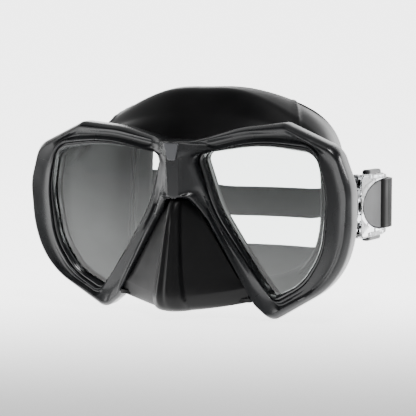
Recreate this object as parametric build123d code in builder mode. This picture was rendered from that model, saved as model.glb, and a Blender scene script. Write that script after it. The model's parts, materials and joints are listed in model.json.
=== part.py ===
"""Twin-lens diving mask: frame, flat glass lenses, silicone skirt, swivel buckles and split strap.

Millimetres. The wearer looks along -Y, +X is the wearer's left, +Z is up. The origin is the middle
of the face opening: X = 0 is the mirror plane and Z = 0 is the height of the swivel pins.
"""
from build123d import *
from math import cos, hypot, radians, sin, sqrt, tan
import os

os.makedirs("parts", exist_ok=True)

# ---------------------------------------------------------------- driving dimensions
LENS_TILT = 4.0        # the lenses lean forward at the top, degrees
EYE_Y = -48.5          # front face of the glass at Z = 0
LENS_W = 65.5          # clear opening of one lens, across
LENS_H = 75.5          # clear opening of one lens, upright
LENS_IN = 13.0         # mirror plane to the inner edge of a lens opening
LENS_LOW = -44.5       # height of the lowest point of a lens opening
GLASS_T = 4.0          # tempered glass
GLASS_LIP = 2.4        # glass hidden under the retainer all round
RETAINER_LIP = 3.0     # width of the retainer ring
RETAINER_T = 3.0
RIM_W = 10.5           # frame rim outside the lens opening
RIM_FRONT = 4.5        # rim proud of the glass
RIM_BEVEL = 3.0        # depth of the bevelled outer front edge
RIM_BEVEL_ANGLE = 32.0
FRAME_BACK = 6.0       # frame behind the front face of the glass
ARCH_HALF = 6.2        # half width of the nose arch at its top
ARCH_R = 3.6           # corner radius of the arch
BRIDGE_RISE = 11.5     # bridge fin proud of the glass
CAP_T = 1.4            # bridge cap
CAP_HALF = 4.2
CAP_H = 8.5
SEAT_GAP = 0.1         # clearance round the glass, the retainers and the cap

SKIRT_T = 2.0          # silicone wall
FLANGE_T = 1.7         # skirt flange behind the frame
FLANGE_LAP = 2.6       # flange wider than the lens opening
FACE_R = 74.0          # curve of the face that the seal follows, in plan
FACE_Y = -25.0         # seal line on the mirror plane at Z = 0
FACE_SLOPE = 0.08      # the face leans back at the top, mm per mm
BROW_TOP = 60.0        # top of the forehead skirt
CHIN_DROP = 4.0        # chin of the skirt below the lens openings
SEAL_W = 9.0           # width of the inturned seal lip
NOSE_GAP = 0.5         # nose pocket clear of the frame arch
NOSE_DEPTH = 16.0      # nose tip in front of the rim
NOSE_DROP = 8.0        # lowest level of the nose pocket below the lens openings

LUG_INSET = 9.9        # outer edge of the frame to the inner face of the lug
LUG_T = 2.7            # lug, in the direction of the pin
LUG_END_R = 10.5       # round end of the lug
LUG_ROOT_H = 15.0      # half height of the lug at the frame
PIN_Y = -33.0          # swivel pin axis
PIN_R = 2.5
PIN_GAP = 0.05         # radial running clearance of the swivel, the rollers and the levers
HEAD_R = 4.2           # swivel pin head and tail
HEAD_T = 0.8
WASHER_T = 0.5
FACE_GAP = 0.2         # side clearance between parts that turn on each other

BUCKLE_T = 5.8
BUCKLE_PROUD = 1.1     # buckle outside the lug
BUCKLE_FRONT = -22.0   # front edge of the buckle
BUCKLE_REAR = 13.0     # rear end of the buckle arms
ARM_H = 3.0            # height of each buckle arm at its buttons
ARM_TAIL_H = 2.0       # height of each arm at its rear end
WINDOW_RIM = 2.2       # buckle in front of the window
STRAP_SIDE_GAP = 0.5   # strap clear of the arms on each side
TONGUE_T = 2.6
TONGUE_HALF = 5.5
BUTTON_Y = -1.0        # middle of the release buttons
BUTTON_L = 18.0
BUTTON_W = 4.4
BUTTON_PROUD = 2.0     # button above the buckle edge
BUTTON_SKIRT = 0.6     # button inside its pocket at rest
BUTTON_TRAVEL = 1.5
BUTTON_GAP = 0.2
STEM_R = 0.9

STRAP_T = 1.8
STRAP_HALF = 12.5      # half width of the strap at the buckle
STRAP_REAR_Y = 60.0    # middle of the strap behind the head
STRAP_TAIL_Y = 25.0    # end of the free tail
STRAP_DROOP = 22.8     # the split back of the strap hangs this much lower
STRAP_BACK_HALF = 26.0 # half height over both bands at the back
BAND_GAP_HALF = 8.0    # half height of the slot between the bands
SLOT_Y = 40.0          # front end of the slot
ROLLER_BACK = 3.5      # roller axis ahead of the rear end of the arms
ROLLER_R = 1.7
ROLLER_PIN_R = 0.8
WRAP_GAP = 0.3         # strap clear of the roller
LEVER_T = 2.2
LEVER_GAP = 0.6        # lever clear of the window
LEVER_PIN_BACK = 11.0  # lever pin behind the front of the buckle
LEVER_PIN_R = 0.7
KNUCKLE_R = 1.35
SPRING_WIRE_R = 0.2
SPRING_TURNS = 5
SPRING_PITCH = 0.95
PIN_SEAT = 1.0         # upright pins seated this deep in the arms

# ---------------------------------------------------------------- derived places
TILT = radians(LENS_TILT)
EYE = Plane(origin=(0, EYE_Y, 0), x_dir=(1, 0, 0), z_dir=(0, -cos(TILT), -sin(TILT)))
SIDE = LENS_IN + LENS_W + RIM_W * 1.22   # outer edge of the frame
CHIN = LENS_LOW - CHIN_DROP
NOSE_LOW = LENS_LOW - NOSE_DROP
LUG_X = SIDE - LUG_INSET
LUG_OUT = LUG_X + LUG_T
SKIRT_SIDE = LUG_X - FACE_GAP - TONGUE_T - FACE_GAP - WASHER_T - HEAD_T - 0.3
TONGUE_X = LUG_X - FACE_GAP - TONGUE_T
BUCKLE_OUT = LUG_OUT + BUCKLE_PROUD
BUCKLE_X = BUCKLE_OUT - BUCKLE_T
BUCKLE_MID = BUCKLE_X + BUCKLE_T / 2
WRAP_R = ROLLER_R + WRAP_GAP + STRAP_T / 2
WINDOW_HALF = STRAP_HALF + STRAP_SIDE_GAP
BUCKLE_HALF = WINDOW_HALF + ARM_H
ARM_TAIL_HALF = WINDOW_HALF + ARM_TAIL_H
ROLLER_X = BUCKLE_MID + 0.2
ROLLER_Y = BUCKLE_REAR - ROLLER_BACK
WINDOW_FRONT = BUCKLE_FRONT + WINDOW_RIM
LEVER_X = BUCKLE_OUT - LEVER_T
LEVER_PIN_X = LEVER_X - KNUCKLE_R + 0.05
LEVER_PIN_Y = BUCKLE_FRONT + LEVER_PIN_BACK
LEVER_REAR = ROLLER_Y - WRAP_R - STRAP_T / 2 - 0.4
POCKET_FLOOR = BUCKLE_HALF - BUTTON_SKIRT - BUTTON_TRAVEL - BUTTON_GAP


def save(piece, name):
    piece.part.label = name
    export_step(piece.part, f"parts/{name}.step")


def save_mirrored(piece, name):
    with BuildPart() as other:
        mirror(piece.part, about=Plane.YZ)
    save(other, name)


def save_pair(piece, name):
    """The wearer's left is +X; the right-hand piece is its mirror image."""
    save(piece, f"{name}_left")
    save_mirrored(piece, f"{name}_right")


def lens_point(across, up, right=0.0, rise=0.0):
    """A point by its share of the lens opening, plus a shift in rim widths."""
    return (LENS_IN + across * LENS_W + right * RIM_W, LENS_LOW + up * LENS_H + rise * RIM_W)


# corner points of one lens opening: share across, share up, corner radius
LENS_CORNERS = [(-0.02, 0.94, 4), (0.49, 1.0, 90), (0.93, 0.95, 9), (1.0, 0.67, 50),
                (0.94, 0.31, 35), (0.78, 0.11, 25), (0.535, 0.0, 4), (0.113, 0.576, 60)]


def nose_line_x(z):
    """Frame edge beside the nose: the lens's inner edge moved one rim width towards the nose."""
    low, high = lens_point(0.55, 0.0), lens_point(0.1375, 0.576)
    run, rise = high[0] - low[0], high[1] - low[1]
    return low[0] - RIM_W * hypot(run, rise) / rise + (z - low[1]) * run / rise


def arch_top():
    """Level at which the two nose edges of the frame have closed to the width of the arch."""
    return (ARCH_HALF - nose_line_x(0)) / (nose_line_x(1) - nose_line_x(0))


def lens_level(up):
    return lens_point(0, up)[1]


def lens_face(grow=0.0):
    points = [lens_point(across, up) for across, up, _ in LENS_CORNERS]
    with BuildSketch() as face:
        with BuildLine():
            FilletPolyline(*points, radius=[r for _, _, r in LENS_CORNERS], close=True)
        make_face()
        if grow:
            offset(amount=grow, mode=Mode.REPLACE)
    return face.sketch


def lens_faces(grow=0.0):
    with BuildSketch() as faces:
        add(lens_face(grow))
        mirror(about=Plane.YZ)
    return faces.sketch


def bridge_corner():
    """Top corner of the frame where a rim meets the bridge."""
    return lens_point(0.0, 0.94, -0.35, 0.65)


def frame_corners():
    low = lens_point(0.55, 0.0, -0.86, -0.52)[1]
    return [(*bridge_corner(), 8), (*lens_point(0.32, 0.98, 0.0, 0.98), 60),
            (*lens_point(0.68, 1.0, 0.0, 1.07), 4), (*lens_point(0.93, 0.95, 1.1, 0.25), 12),
            (*lens_point(1.0, 0.67, 1.28, 0.5), 30), (*lens_point(0.97, 0.43, 1.42, 0.0), 0.74 * LENS_H),
            (*lens_point(0.85, 0.21, 1.5, -0.61), 0.53 * LENS_H),
            (*lens_point(0.55, 0.0, -0.05, -1.13), 6), (nose_line_x(low), low, 6),
            (ARCH_HALF, arch_top(), ARCH_R)]


def frame_face():
    half = frame_corners()
    points = [(x, z) for x, z, _ in half] + [(-x, z) for x, z, _ in reversed(half)]
    radii = [r for _, _, r in half]
    with BuildSketch() as face:
        with BuildLine():
            FilletPolyline(*points, radius=radii + radii[::-1], close=True)
        make_face()
    return face.sketch


# ---------------------------------------------------------------- frame and lenses
def make_frame():
    with BuildPart() as bridge:
        low = lens_level(0.483)
        side = nose_line_x(low)
        top = bridge_corner()
        inner = lens_point(0.0, 0.94)[0] - RETAINER_LIP - 1.0
        with BuildSketch(EYE):
            half = [(top[0] - 1, top[1] - 0.5), (inner, lens_level(0.907)), (inner + 4.0, lens_level(0.722)),
                    (side + 4.0, low), (side, low), (ARCH_HALF, arch_top())]
            with BuildLine():
                Polyline(*half, *[(-x, z) for x, z in reversed(half)], close=True)
            make_face()
        extrude(amount=BRIDGE_RISE)
        across = Plane(origin=EYE.origin, x_dir=(1, 0, 0), z_dir=EYE.y_dir)
        with BuildSketch(across.offset(-40)):
            with BuildLine():
                Polyline((-22, 0), (-15, -RIM_FRONT), (-4.5, -BRIDGE_RISE), (4.5, -BRIDGE_RISE),
                         (15, -RIM_FRONT), (22, 0), close=True)
            make_face()
        extrude(amount=100, mode=Mode.INTERSECT)
    with BuildPart() as frame:
        with BuildSketch(EYE.offset(-FRAME_BACK)):
            add(frame_face())
        extrude(amount=FRAME_BACK + RIM_FRONT - RIM_BEVEL)
        with BuildSketch(EYE.offset(RIM_FRONT - RIM_BEVEL)):
            add(frame_face())
        extrude(amount=RIM_BEVEL, taper=RIM_BEVEL_ANGLE)
        add(bridge.part)
        with BuildSketch(EYE.offset(-FRAME_BACK)):
            add(lens_faces())
        extrude(amount=FRAME_BACK, mode=Mode.SUBTRACT)
        with BuildSketch(EYE.offset(-GLASS_T)):
            add(lens_faces(GLASS_LIP + SEAT_GAP))
        extrude(amount=GLASS_T, mode=Mode.SUBTRACT)
        with BuildSketch(EYE):
            add(lens_faces(RETAINER_LIP + SEAT_GAP))
        extrude(amount=BRIDGE_RISE + 1, mode=Mode.SUBTRACT)
        with BuildSketch(EYE.offset(BRIDGE_RISE - CAP_T / 2)):
            add(cap_face(SEAT_GAP))
        extrude(amount=CAP_T, mode=Mode.SUBTRACT)
    save(frame, "frame")


def cap_face(grow=0.0):
    top = bridge_corner()[1] - 0.8
    half = [(CAP_HALF, top), (CAP_HALF / 2, top - CAP_H)]
    with BuildSketch() as face:
        with BuildLine():
            FilletPolyline(*half, *[(-x, z) for x, z in reversed(half)], radius=0.8, close=True)
        make_face()
        if grow:
            offset(amount=grow, mode=Mode.REPLACE)
    return face.sketch


def make_bridge_cap():
    with BuildPart() as cap:
        with BuildSketch(EYE.offset(BRIDGE_RISE - CAP_T / 2)):
            add(cap_face())
        extrude(amount=CAP_T)
        fillet(cap.faces().sort_by(Axis.Y)[0].edges(), radius=0.4)
    save(cap, "bridge_cap")


def make_lens():
    with BuildPart() as lens:
        with BuildSketch(EYE.offset(-GLASS_T)):
            add(lens_face(GLASS_LIP))
        extrude(amount=GLASS_T)
    save_pair(lens, "lens")


def make_retainer():
    """A ring that presses the glass home, opened towards the front by its sloped inner wall."""
    with BuildPart() as ring:
        with BuildSketch(EYE):
            add(lens_face(RETAINER_LIP))
        extrude(amount=RETAINER_T)
        with BuildSketch(EYE):
            add(lens_face())
        extrude(amount=RETAINER_T, taper=-25, mode=Mode.SUBTRACT)
    save_pair(ring, "lens_retainer")


# ---------------------------------------------------------------- skirt
def skirt_stations():
    """Outer outlines of the skirt: the front one on the frame, then (y, half outline) pairs. Each
    point across is a share of the half width; levels beside the lenses are shares of their height."""
    edge = LENS_IN + LENS_W + FLANGE_LAP
    side, top, chin, up = SKIRT_SIDE, BROW_TOP, CHIN, lens_level
    front = [(0, up(0.993)), (0.345 * edge, up(1.053)), (0.691 * edge, up(1.086)),
             (edge - 3.5, up(0.934)), (edge, up(0.642)), (edge - 3, up(0.325)),
             (0.838 * edge, up(0.086)), (0.580 * edge, chin + 0.5), (0.271 * edge, chin + 1),
             (0, chin + 1)]
    behind = [(0, top - 14), (0.312 * side, top - 14.5), (0.651 * side, top - 20),
              (side - 5, up(0.947)), (side, up(0.642)), (side - 3, up(0.311)),
              (0.846 * side, up(0.086)), (0.599 * side, chin + 1), (0.286 * side, chin), (0, chin)]
    brow = [(0, top - 0.5), (0.286 * side, top - 2), (0.625 * side, top - 12),
            (side - 6.5, up(0.987)), (side - 0.4, up(0.642)), (side - 3.5, up(0.311)),
            (0.807 * side, up(0.086)), (0.573 * side, chin + 1), (0.286 * side, chin - 1),
            (0, chin - 1.5)]
    cheek = [(0, top), (0.286 * side, top - 1), (0.599 * side, top - 9.5), (side - 11.5, up(1.033)),
             (side - 6, up(0.629)), (side - 8, up(0.325)), (0.768 * side, up(0.106)),
             (0.560 * side, chin + 1.5), (0.286 * side, chin - 1), (0, chin - 2)]
    temple = [(0, top), (0.286 * side, top - 1.2), (0.547 * side, top - 10.5),
              (side - 22, up(0.987)), (side - 20, up(0.616)), (side - 21.5, up(0.338)),
              (0.638 * side, up(0.132)), (0.495 * side, chin + 2), (0.286 * side, chin - 1),
              (0, chin - 2)]
    return [(-37.5, behind), (-27.0, brow), (-9.0, cheek), (30.0, temple)], front


def spline_face(half, inset=0.0):
    """A closed smooth outline from its half; each point may move in by the inset, square to it."""
    around = half + [(-x, z) for x, z in reversed(half[1:-1])]
    points = []
    for i, (x, z) in enumerate(around):
        (x0, z0), (x1, z1) = around[i - 1], around[(i + 1) % len(around)]
        chord = hypot(x1 - x0, z1 - z0)
        points.append((x + inset * (z1 - z0) / chord, z - inset * (x1 - x0) / chord))
    with BuildSketch() as face:
        with BuildLine():
            Spline(*points, periodic=True)
        make_face()
    return face.sketch


def skirt_form(inset=0.0, shift=0.0):
    """The skirt as a solid plug; the inner form is inset and moved back by the wall."""
    stations, front = skirt_stations()
    with BuildPart() as form:
        with BuildSketch(EYE.offset(-FRAME_BACK - shift)):
            add(spline_face(front, inset and inset + FLANGE_T))
        for y, outline in stations:
            with BuildSketch(Plane.XZ.offset(-y - shift)):
                add(spline_face(outline, inset))
        loft()
    return form.part


def nose_stations():
    """Level cuts of the nose pocket: height, half width of the ridge, depth of the ridge."""
    tip = EYE_Y - RIM_FRONT - NOSE_DEPTH - 3.0
    tall = arch_top() - NOSE_LOW
    return [(arch_top() - 3.0, 1.6, tip + 11.4), (NOSE_LOW + 0.71 * tall, 3.8, tip + 6.6),
            (NOSE_LOW + 0.395 * tall, 6.5, tip + 2.6), (NOSE_LOW + 11.0, 8.5, tip),
            (NOSE_LOW + 4.5, 9.0, tip + 3.0), (NOSE_LOW, 8.0, tip + 12.0)]


def nose_form(inset=0.0):
    """The nose pocket as a plug that fills the frame's arch and rises to a blunt ridge in front."""
    bottom = nose_stations()[-1][0]
    with BuildPart() as form:
        for z, ridge_half, ridge_y in nose_stations():
            rim_y = EYE_Y - RIM_FRONT - z * tan(TILT) + 1.5
            half = nose_line_x(max(z, LENS_LOW)) - NOSE_GAP - inset
            if z == bottom:
                half = half - 5.0
            level = z + (inset if z == bottom else 0.0)
            ridge = max(ridge_half - inset, 0.6)
            corner = min(2.0, ridge * 0.6)
            with BuildSketch(Plane.XY.offset(level)):
                side = [(half, -36.0), (half, rim_y), (ridge, ridge_y + inset)]
                with BuildLine():
                    FilletPolyline(*side, *[(-x, y) for x, y in reversed(side)],
                                   radius=[0, 1.0, corner, corner, 1.0, 0], close=True)
                make_face()
        loft(ruled=True)
    return form.part


def face_form(grow=0.0):
    """The head that the seal fits: a wide cylinder that leans with the face."""
    lean = Plane(origin=(0, FACE_Y + FACE_R, 0), x_dir=(1, 0, 0), z_dir=(0, FACE_SLOPE, 1))
    with BuildPart() as form:
        with BuildSketch(lean.offset(-120)):
            Circle(FACE_R + grow)
        extrude(amount=240)
    return form.part


def make_skirt():
    outer = skirt_form()
    inner = skirt_form(SKIRT_T * 0.6, FLANGE_T)
    with BuildPart() as seal:
        add(outer)
        add(face_form(SKIRT_T), mode=Mode.INTERSECT)
        stations, _ = skirt_stations()
        with BuildSketch(Plane.XZ.offset(60)):
            add(spline_face(stations[1][1], SEAL_W))
        extrude(amount=-120, mode=Mode.SUBTRACT)
    with BuildPart() as skirt:
        add(outer)
        add(nose_form())
        add(inner, mode=Mode.SUBTRACT)
        add(nose_form(SKIRT_T), mode=Mode.SUBTRACT)
        add(seal.part)
        add(face_form(), mode=Mode.SUBTRACT)
        with BuildSketch(EYE.offset(-FRAME_BACK - FLANGE_T - 0.2)):
            add(lens_faces())
        extrude(amount=FLANGE_T + 1, mode=Mode.SUBTRACT)
    save(skirt, "skirt")


# ---------------------------------------------------------------- swivel
def make_lug():
    root = EYE_Y + FRAME_BACK
    with BuildPart() as lug:
        with BuildSketch(Plane.YZ.offset(LUG_X)):
            with Locations((PIN_Y, 0)):
                Circle(LUG_END_R)
            with BuildLine():
                Polyline((root - 4, -LUG_ROOT_H), (PIN_Y, -LUG_END_R), (PIN_Y, LUG_END_R),
                         (root - 4, LUG_ROOT_H), close=True)
            make_face()
        extrude(amount=LUG_T)
        split(bisect_by=EYE.offset(-FRAME_BACK), keep=Keep.BOTTOM)
        with BuildSketch(Plane.YZ.offset(LUG_X)):
            with Locations((PIN_Y, 0)):
                Circle(PIN_R)
        extrude(amount=LUG_T, mode=Mode.SUBTRACT)
    save_pair(lug, "strap_lug")


def make_swivel_pin():
    tail = TONGUE_X - FACE_GAP - WASHER_T - HEAD_T
    with BuildPart() as pin:
        with BuildSketch(Plane.YZ.offset(tail)):
            with Locations((PIN_Y, 0)):
                Circle(PIN_R + 0.9)
        extrude(amount=HEAD_T)
        with BuildSketch(Plane.YZ.offset(tail)):
            with Locations((PIN_Y, 0)):
                Circle(PIN_R)
        extrude(amount=LUG_OUT - tail)
        with BuildSketch(Plane.YZ.offset(LUG_OUT)):
            with Locations((PIN_Y, 0)):
                Circle(HEAD_R)
        extrude(amount=HEAD_T)
        fillet(pin.faces().sort_by(Axis.X)[-1].edges(), radius=0.5)
    save_pair(pin, "swivel_pin")


def make_swivel_washer():
    with BuildPart() as washer:
        with BuildSketch(Plane.YZ.offset(TONGUE_X - FACE_GAP - WASHER_T)):
            with Locations((PIN_Y, 0)):
                Circle(HEAD_R)
                Circle(PIN_R + PIN_GAP, mode=Mode.SUBTRACT)
        extrude(amount=WASHER_T)
    save_pair(washer, "swivel_washer")


# ---------------------------------------------------------------- buckle
def window_face(inset, rear):
    """The D-shaped window: half an oval towards the face, square towards the strap."""
    half = WINDOW_HALF - inset
    with BuildSketch() as face:
        with Locations((ROLLER_Y, 0)):
            Ellipse(ROLLER_Y - WINDOW_FRONT - inset, half)
            Rectangle(BUCKLE_REAR + 1 - ROLLER_Y, 2 * half, align=(Align.MIN, Align.CENTER))
        with Locations((rear, 0)):
            Rectangle(2 * ROLLER_Y - BUCKLE_FRONT, 2 * half + 2, align=(Align.MIN, Align.CENTER),
                      mode=Mode.SUBTRACT)
    return face.sketch


def window_half_at(y):
    """Half height of the window where its front is an oval."""
    return WINDOW_HALF * sqrt(1 - ((ROLLER_Y - y) / (ROLLER_Y - WINDOW_FRONT))**2)


def make_buckle():
    with BuildPart() as buckle:
        with BuildSketch(Plane.YZ.offset(BUCKLE_X)):
            with BuildLine():
                FilletPolyline((BUCKLE_FRONT, -BUCKLE_HALF), (BUTTON_Y + BUTTON_L / 2, -BUCKLE_HALF),
                               (BUCKLE_REAR, -ARM_TAIL_HALF), (BUCKLE_REAR, ARM_TAIL_HALF),
                               (BUTTON_Y + BUTTON_L / 2, BUCKLE_HALF), (BUCKLE_FRONT, BUCKLE_HALF),
                               radius=[4.5, 3, 0.8, 0.8, 3, 4.5], close=True)
            make_face()
        extrude(amount=BUCKLE_T)
        fillet(buckle.faces().sort_by(Axis.X)[-1].edges(), radius=0.9)
        with BuildSketch(Plane.YZ.offset(BUCKLE_X)):
            add(window_face(0, BUCKLE_REAR + 1))
        extrude(amount=BUCKLE_T, mode=Mode.SUBTRACT)
        with BuildSketch(Plane.YZ.offset(TONGUE_X)):
            with Locations((PIN_Y, 0)):
                Circle(TONGUE_HALF)
            with Locations(((PIN_Y + WINDOW_FRONT) / 2, 0)):
                Rectangle(WINDOW_FRONT - PIN_Y, 2 * TONGUE_HALF)
        extrude(amount=TONGUE_T)
        with BuildSketch(Plane.YZ.offset(TONGUE_X)):
            with Locations((PIN_Y, 0)):
                Circle(PIN_R + PIN_GAP)
        extrude(amount=TONGUE_T, mode=Mode.SUBTRACT)
        for side in (1, -1):
            with BuildSketch(Plane.XY.offset(side * POCKET_FLOOR)):
                with Locations((BUCKLE_MID, BUTTON_Y)):
                    SlotOverall(BUTTON_L + 2 * BUTTON_GAP, BUTTON_W + 2 * BUTTON_GAP, rotation=90)
            extrude(amount=side * BUCKLE_HALF, mode=Mode.SUBTRACT)
            with BuildSketch(Plane.XY.offset(side * WINDOW_HALF / 2)):
                with Locations((BUCKLE_MID, BUTTON_Y)):
                    Circle(STEM_R + BUTTON_GAP)
            extrude(amount=side * WINDOW_HALF, mode=Mode.SUBTRACT)
        for x, y, radius, half in (roller_pin_place(), lever_pin_place()):
            with BuildSketch(Plane.XY.offset(-half)):
                with Locations((x, y)):
                    Circle(radius)
            extrude(amount=2 * half, mode=Mode.SUBTRACT)
    save_pair(buckle, "buckle_body")


def roller_pin_place():
    return ROLLER_X, ROLLER_Y, ROLLER_PIN_R, WINDOW_HALF + PIN_SEAT


def lever_pin_place():
    return LEVER_PIN_X, LEVER_PIN_Y, LEVER_PIN_R, window_half_at(LEVER_PIN_Y) + PIN_SEAT


def make_buttons():
    for side, place in ((1, "upper"), (-1, "lower")):
        base = BUCKLE_HALF - BUTTON_SKIRT
        with BuildPart() as button:
            with BuildSketch(Plane.XY.offset(side * base)):
                with Locations((BUCKLE_MID, BUTTON_Y)):
                    SlotOverall(BUTTON_L, BUTTON_W, rotation=90)
            extrude(amount=side * (BUTTON_SKIRT + BUTTON_PROUD))
            outer = button.faces().sort_by(Axis.Z)[-1 if side > 0 else 0]
            fillet(outer.edges(), radius=1.2)
            tip = window_half_at(BUTTON_Y) + 0.1
            with BuildSketch(Plane.XY.offset(side * tip)):
                with Locations((BUCKLE_MID, BUTTON_Y)):
                    Circle(STEM_R)
            extrude(amount=side * (base - tip))
        save_pair(button, f"release_button_{place}")


def make_roller():
    length = 2 * (WINDOW_HALF - FACE_GAP)
    with BuildPart() as roller:
        with BuildSketch(Plane.XY.offset(-length / 2)):
            with Locations((ROLLER_X, ROLLER_Y)):
                Circle(ROLLER_R)
                Circle(ROLLER_PIN_R + PIN_GAP, mode=Mode.SUBTRACT)
        extrude(amount=length)
    save_pair(roller, "strap_roller")


def make_upright_pin(name, x, y, radius, half):
    with BuildPart() as pin:
        with BuildSketch(Plane.XY.offset(-half)):
            with Locations((x, y)):
                Circle(radius)
        extrude(amount=2 * half)
    save_pair(pin, name)


def make_lever():
    """D-shaped lever: its rear edge holds the strap on the roller until the buttons are pinched."""
    knuckle = window_half_at(LEVER_PIN_Y) - LEVER_GAP - 1.0
    root = knuckle - 5.0
    with BuildPart() as lever:
        with BuildSketch(Plane.YZ.offset(LEVER_X)):
            add(window_face(LEVER_GAP, LEVER_REAR))
        extrude(amount=LEVER_T)
        fillet(lever.faces().sort_by(Axis.X)[-1].edges(), radius=0.8)
        for side in (1, -1):
            with BuildSketch(Plane.XY.offset(side * root)):
                with Locations((LEVER_PIN_X, LEVER_PIN_Y)):
                    Circle(KNUCKLE_R)
                with Locations(((LEVER_PIN_X + LEVER_X + 0.5) / 2, LEVER_PIN_Y)):
                    Rectangle(LEVER_X + 0.5 - LEVER_PIN_X, 2 * KNUCKLE_R)
            extrude(amount=side * (knuckle - root))
        with BuildSketch(Plane.XY.offset(-knuckle)):
            with Locations((LEVER_PIN_X, LEVER_PIN_Y)):
                Circle(LEVER_PIN_R + PIN_GAP)
        extrude(amount=2 * knuckle, mode=Mode.SUBTRACT)
    save_pair(lever, "lock_lever")


def make_lever_spring():
    """Torsion spring round the lever pin, between the two knuckles."""
    mean = LEVER_PIN_R + 0.1 + SPRING_WIRE_R
    start = -SPRING_TURNS * SPRING_PITCH / 2
    path = Helix(pitch=SPRING_PITCH, height=SPRING_TURNS * SPRING_PITCH, radius=mean,
                 center=(LEVER_PIN_X, LEVER_PIN_Y, start))
    with BuildPart() as spring:
        with BuildSketch(Plane(origin=path @ 0, z_dir=path % 0)):
            Circle(SPRING_WIRE_R)
        sweep(path=path, is_frenet=True)
    save_pair(spring, "lever_spring")


# ---------------------------------------------------------------- strap
def strap_plan():
    """Middle line of the strap seen from above, from the tail round the roller to the far side."""
    outer, inner = ROLLER_X + WRAP_R, ROLLER_X - WRAP_R
    half = [(outer, ROLLER_Y), (outer - 0.3, 17.0), (outer - 3.6, 26.0), (outer - 11.0, 34.0),
            (outer - 24.0, 41.5), (outer - 40.0, 48.5), (24.0, STRAP_REAR_Y - 3.5)]
    run = half + [(0, STRAP_REAR_Y)] + [(-x, y) for x, y in reversed(half)]
    tail = [(inner, ROLLER_Y), (inner - 0.4, 16.0), (inner - 3.0, STRAP_TAIL_Y)]
    return run, tail


def strap_edges():
    """Side view: (y, upper edge, lower edge) from the buckle to behind the head."""
    low, high = -STRAP_DROOP - STRAP_BACK_HALF, -STRAP_DROOP + STRAP_BACK_HALF
    return [(37.0, STRAP_HALF, -STRAP_HALF), (44.5, STRAP_HALF - 1.5, -STRAP_HALF - 6.0),
            (STRAP_REAR_Y - 7.5, high + 1.5, low + 8.0), (STRAP_REAR_Y - 3.0, high, low),
            (STRAP_REAR_Y + 5, high - 0.5, low - 0.5)]


def make_strap():
    run, tail = strap_plan()
    with BuildPart() as strap:
        with BuildSketch(Plane.XY.offset(-80)):
            with BuildLine():
                Spline(*run, tangents=[(0, 1), (0, -1)])
                CenterArc((ROLLER_X, ROLLER_Y), WRAP_R, 180, 180)
                Spline(*tail, tangents=[(0, 1), (-0.35, 1)])
            trace(line_width=STRAP_T)
            mirror(about=Plane.YZ)
        extrude(amount=120)
        edges = strap_edges()
        start = ROLLER_Y - 2 * WRAP_R
        with BuildSketch(Plane.YZ.offset(-120)):
            with BuildLine():
                upper = Spline(*[(y, high) for y, high, _ in edges], tangents=[(1, 0), (1, 0)])
                lower = Spline(*[(y, low) for y, _, low in edges], tangents=[(1, 0), (1, 0)])
                Line(upper @ 1, lower @ 1)
                Polyline(upper @ 0, (start, STRAP_HALF), (start, -STRAP_HALF), lower @ 0)
            make_face()
        extrude(amount=240, mode=Mode.INTERSECT)
        back, slot = STRAP_REAR_Y + 5, -STRAP_DROOP + 1.0
        with BuildSketch(Plane.YZ.offset(-120)):
            with BuildLine():
                FilletPolyline((SLOT_Y, -2.5), (STRAP_REAR_Y - 9.0, slot + BAND_GAP_HALF + 1.0),
                               (back, slot + BAND_GAP_HALF), (back, slot - BAND_GAP_HALF),
                               (STRAP_REAR_Y - 7.0, slot - BAND_GAP_HALF + 1.0), (SLOT_Y, -6.5),
                               radius=[1.2, 8, 0.5, 0.5, 8, 1.2], close=True)
            make_face()
        extrude(amount=240, mode=Mode.SUBTRACT)
    save(strap, "strap")


make_frame()
make_bridge_cap()
make_lens()
make_retainer()
make_skirt()
make_lug()
make_swivel_pin()
make_swivel_washer()
make_buckle()
make_buttons()
make_roller()
make_upright_pin("roller_pin", *roller_pin_place())
make_upright_pin("lever_pin", *lever_pin_place())
make_lever()
make_lever_spring()
make_strap()
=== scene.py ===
"""Twin-lens diving mask: the looks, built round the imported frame.

Every new piece is a surface worked out as whole arrays of points. Sizes are in millimetres until
build() turns them to metres. +X is the wearer's left, the wearer looks along -Y, +Z is up.
"""
import json
import math
import bmesh
import bpy
import numpy as np
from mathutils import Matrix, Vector


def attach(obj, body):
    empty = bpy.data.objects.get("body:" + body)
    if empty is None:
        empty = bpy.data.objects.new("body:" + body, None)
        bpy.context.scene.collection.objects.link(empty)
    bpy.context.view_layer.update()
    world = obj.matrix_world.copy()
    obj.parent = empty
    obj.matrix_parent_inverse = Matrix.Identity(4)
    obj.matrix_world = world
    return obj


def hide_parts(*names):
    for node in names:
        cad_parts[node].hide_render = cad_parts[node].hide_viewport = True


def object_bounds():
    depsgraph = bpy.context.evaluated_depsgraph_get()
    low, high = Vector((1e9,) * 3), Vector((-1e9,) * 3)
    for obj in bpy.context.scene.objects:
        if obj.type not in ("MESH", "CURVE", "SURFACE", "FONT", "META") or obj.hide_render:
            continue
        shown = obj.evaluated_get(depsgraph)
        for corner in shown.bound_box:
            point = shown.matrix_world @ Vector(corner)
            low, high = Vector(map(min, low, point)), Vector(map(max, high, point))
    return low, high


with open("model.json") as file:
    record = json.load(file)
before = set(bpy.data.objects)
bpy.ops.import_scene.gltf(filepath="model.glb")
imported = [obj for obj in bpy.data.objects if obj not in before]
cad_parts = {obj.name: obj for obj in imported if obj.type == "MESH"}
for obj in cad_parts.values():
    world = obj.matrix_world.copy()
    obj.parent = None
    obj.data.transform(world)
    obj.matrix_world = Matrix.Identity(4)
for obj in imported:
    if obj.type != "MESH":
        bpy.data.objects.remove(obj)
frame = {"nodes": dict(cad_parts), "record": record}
CAD_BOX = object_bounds()
MM = 0.001

# ------------------------------------------------------------------ places taken from the frame

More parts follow.
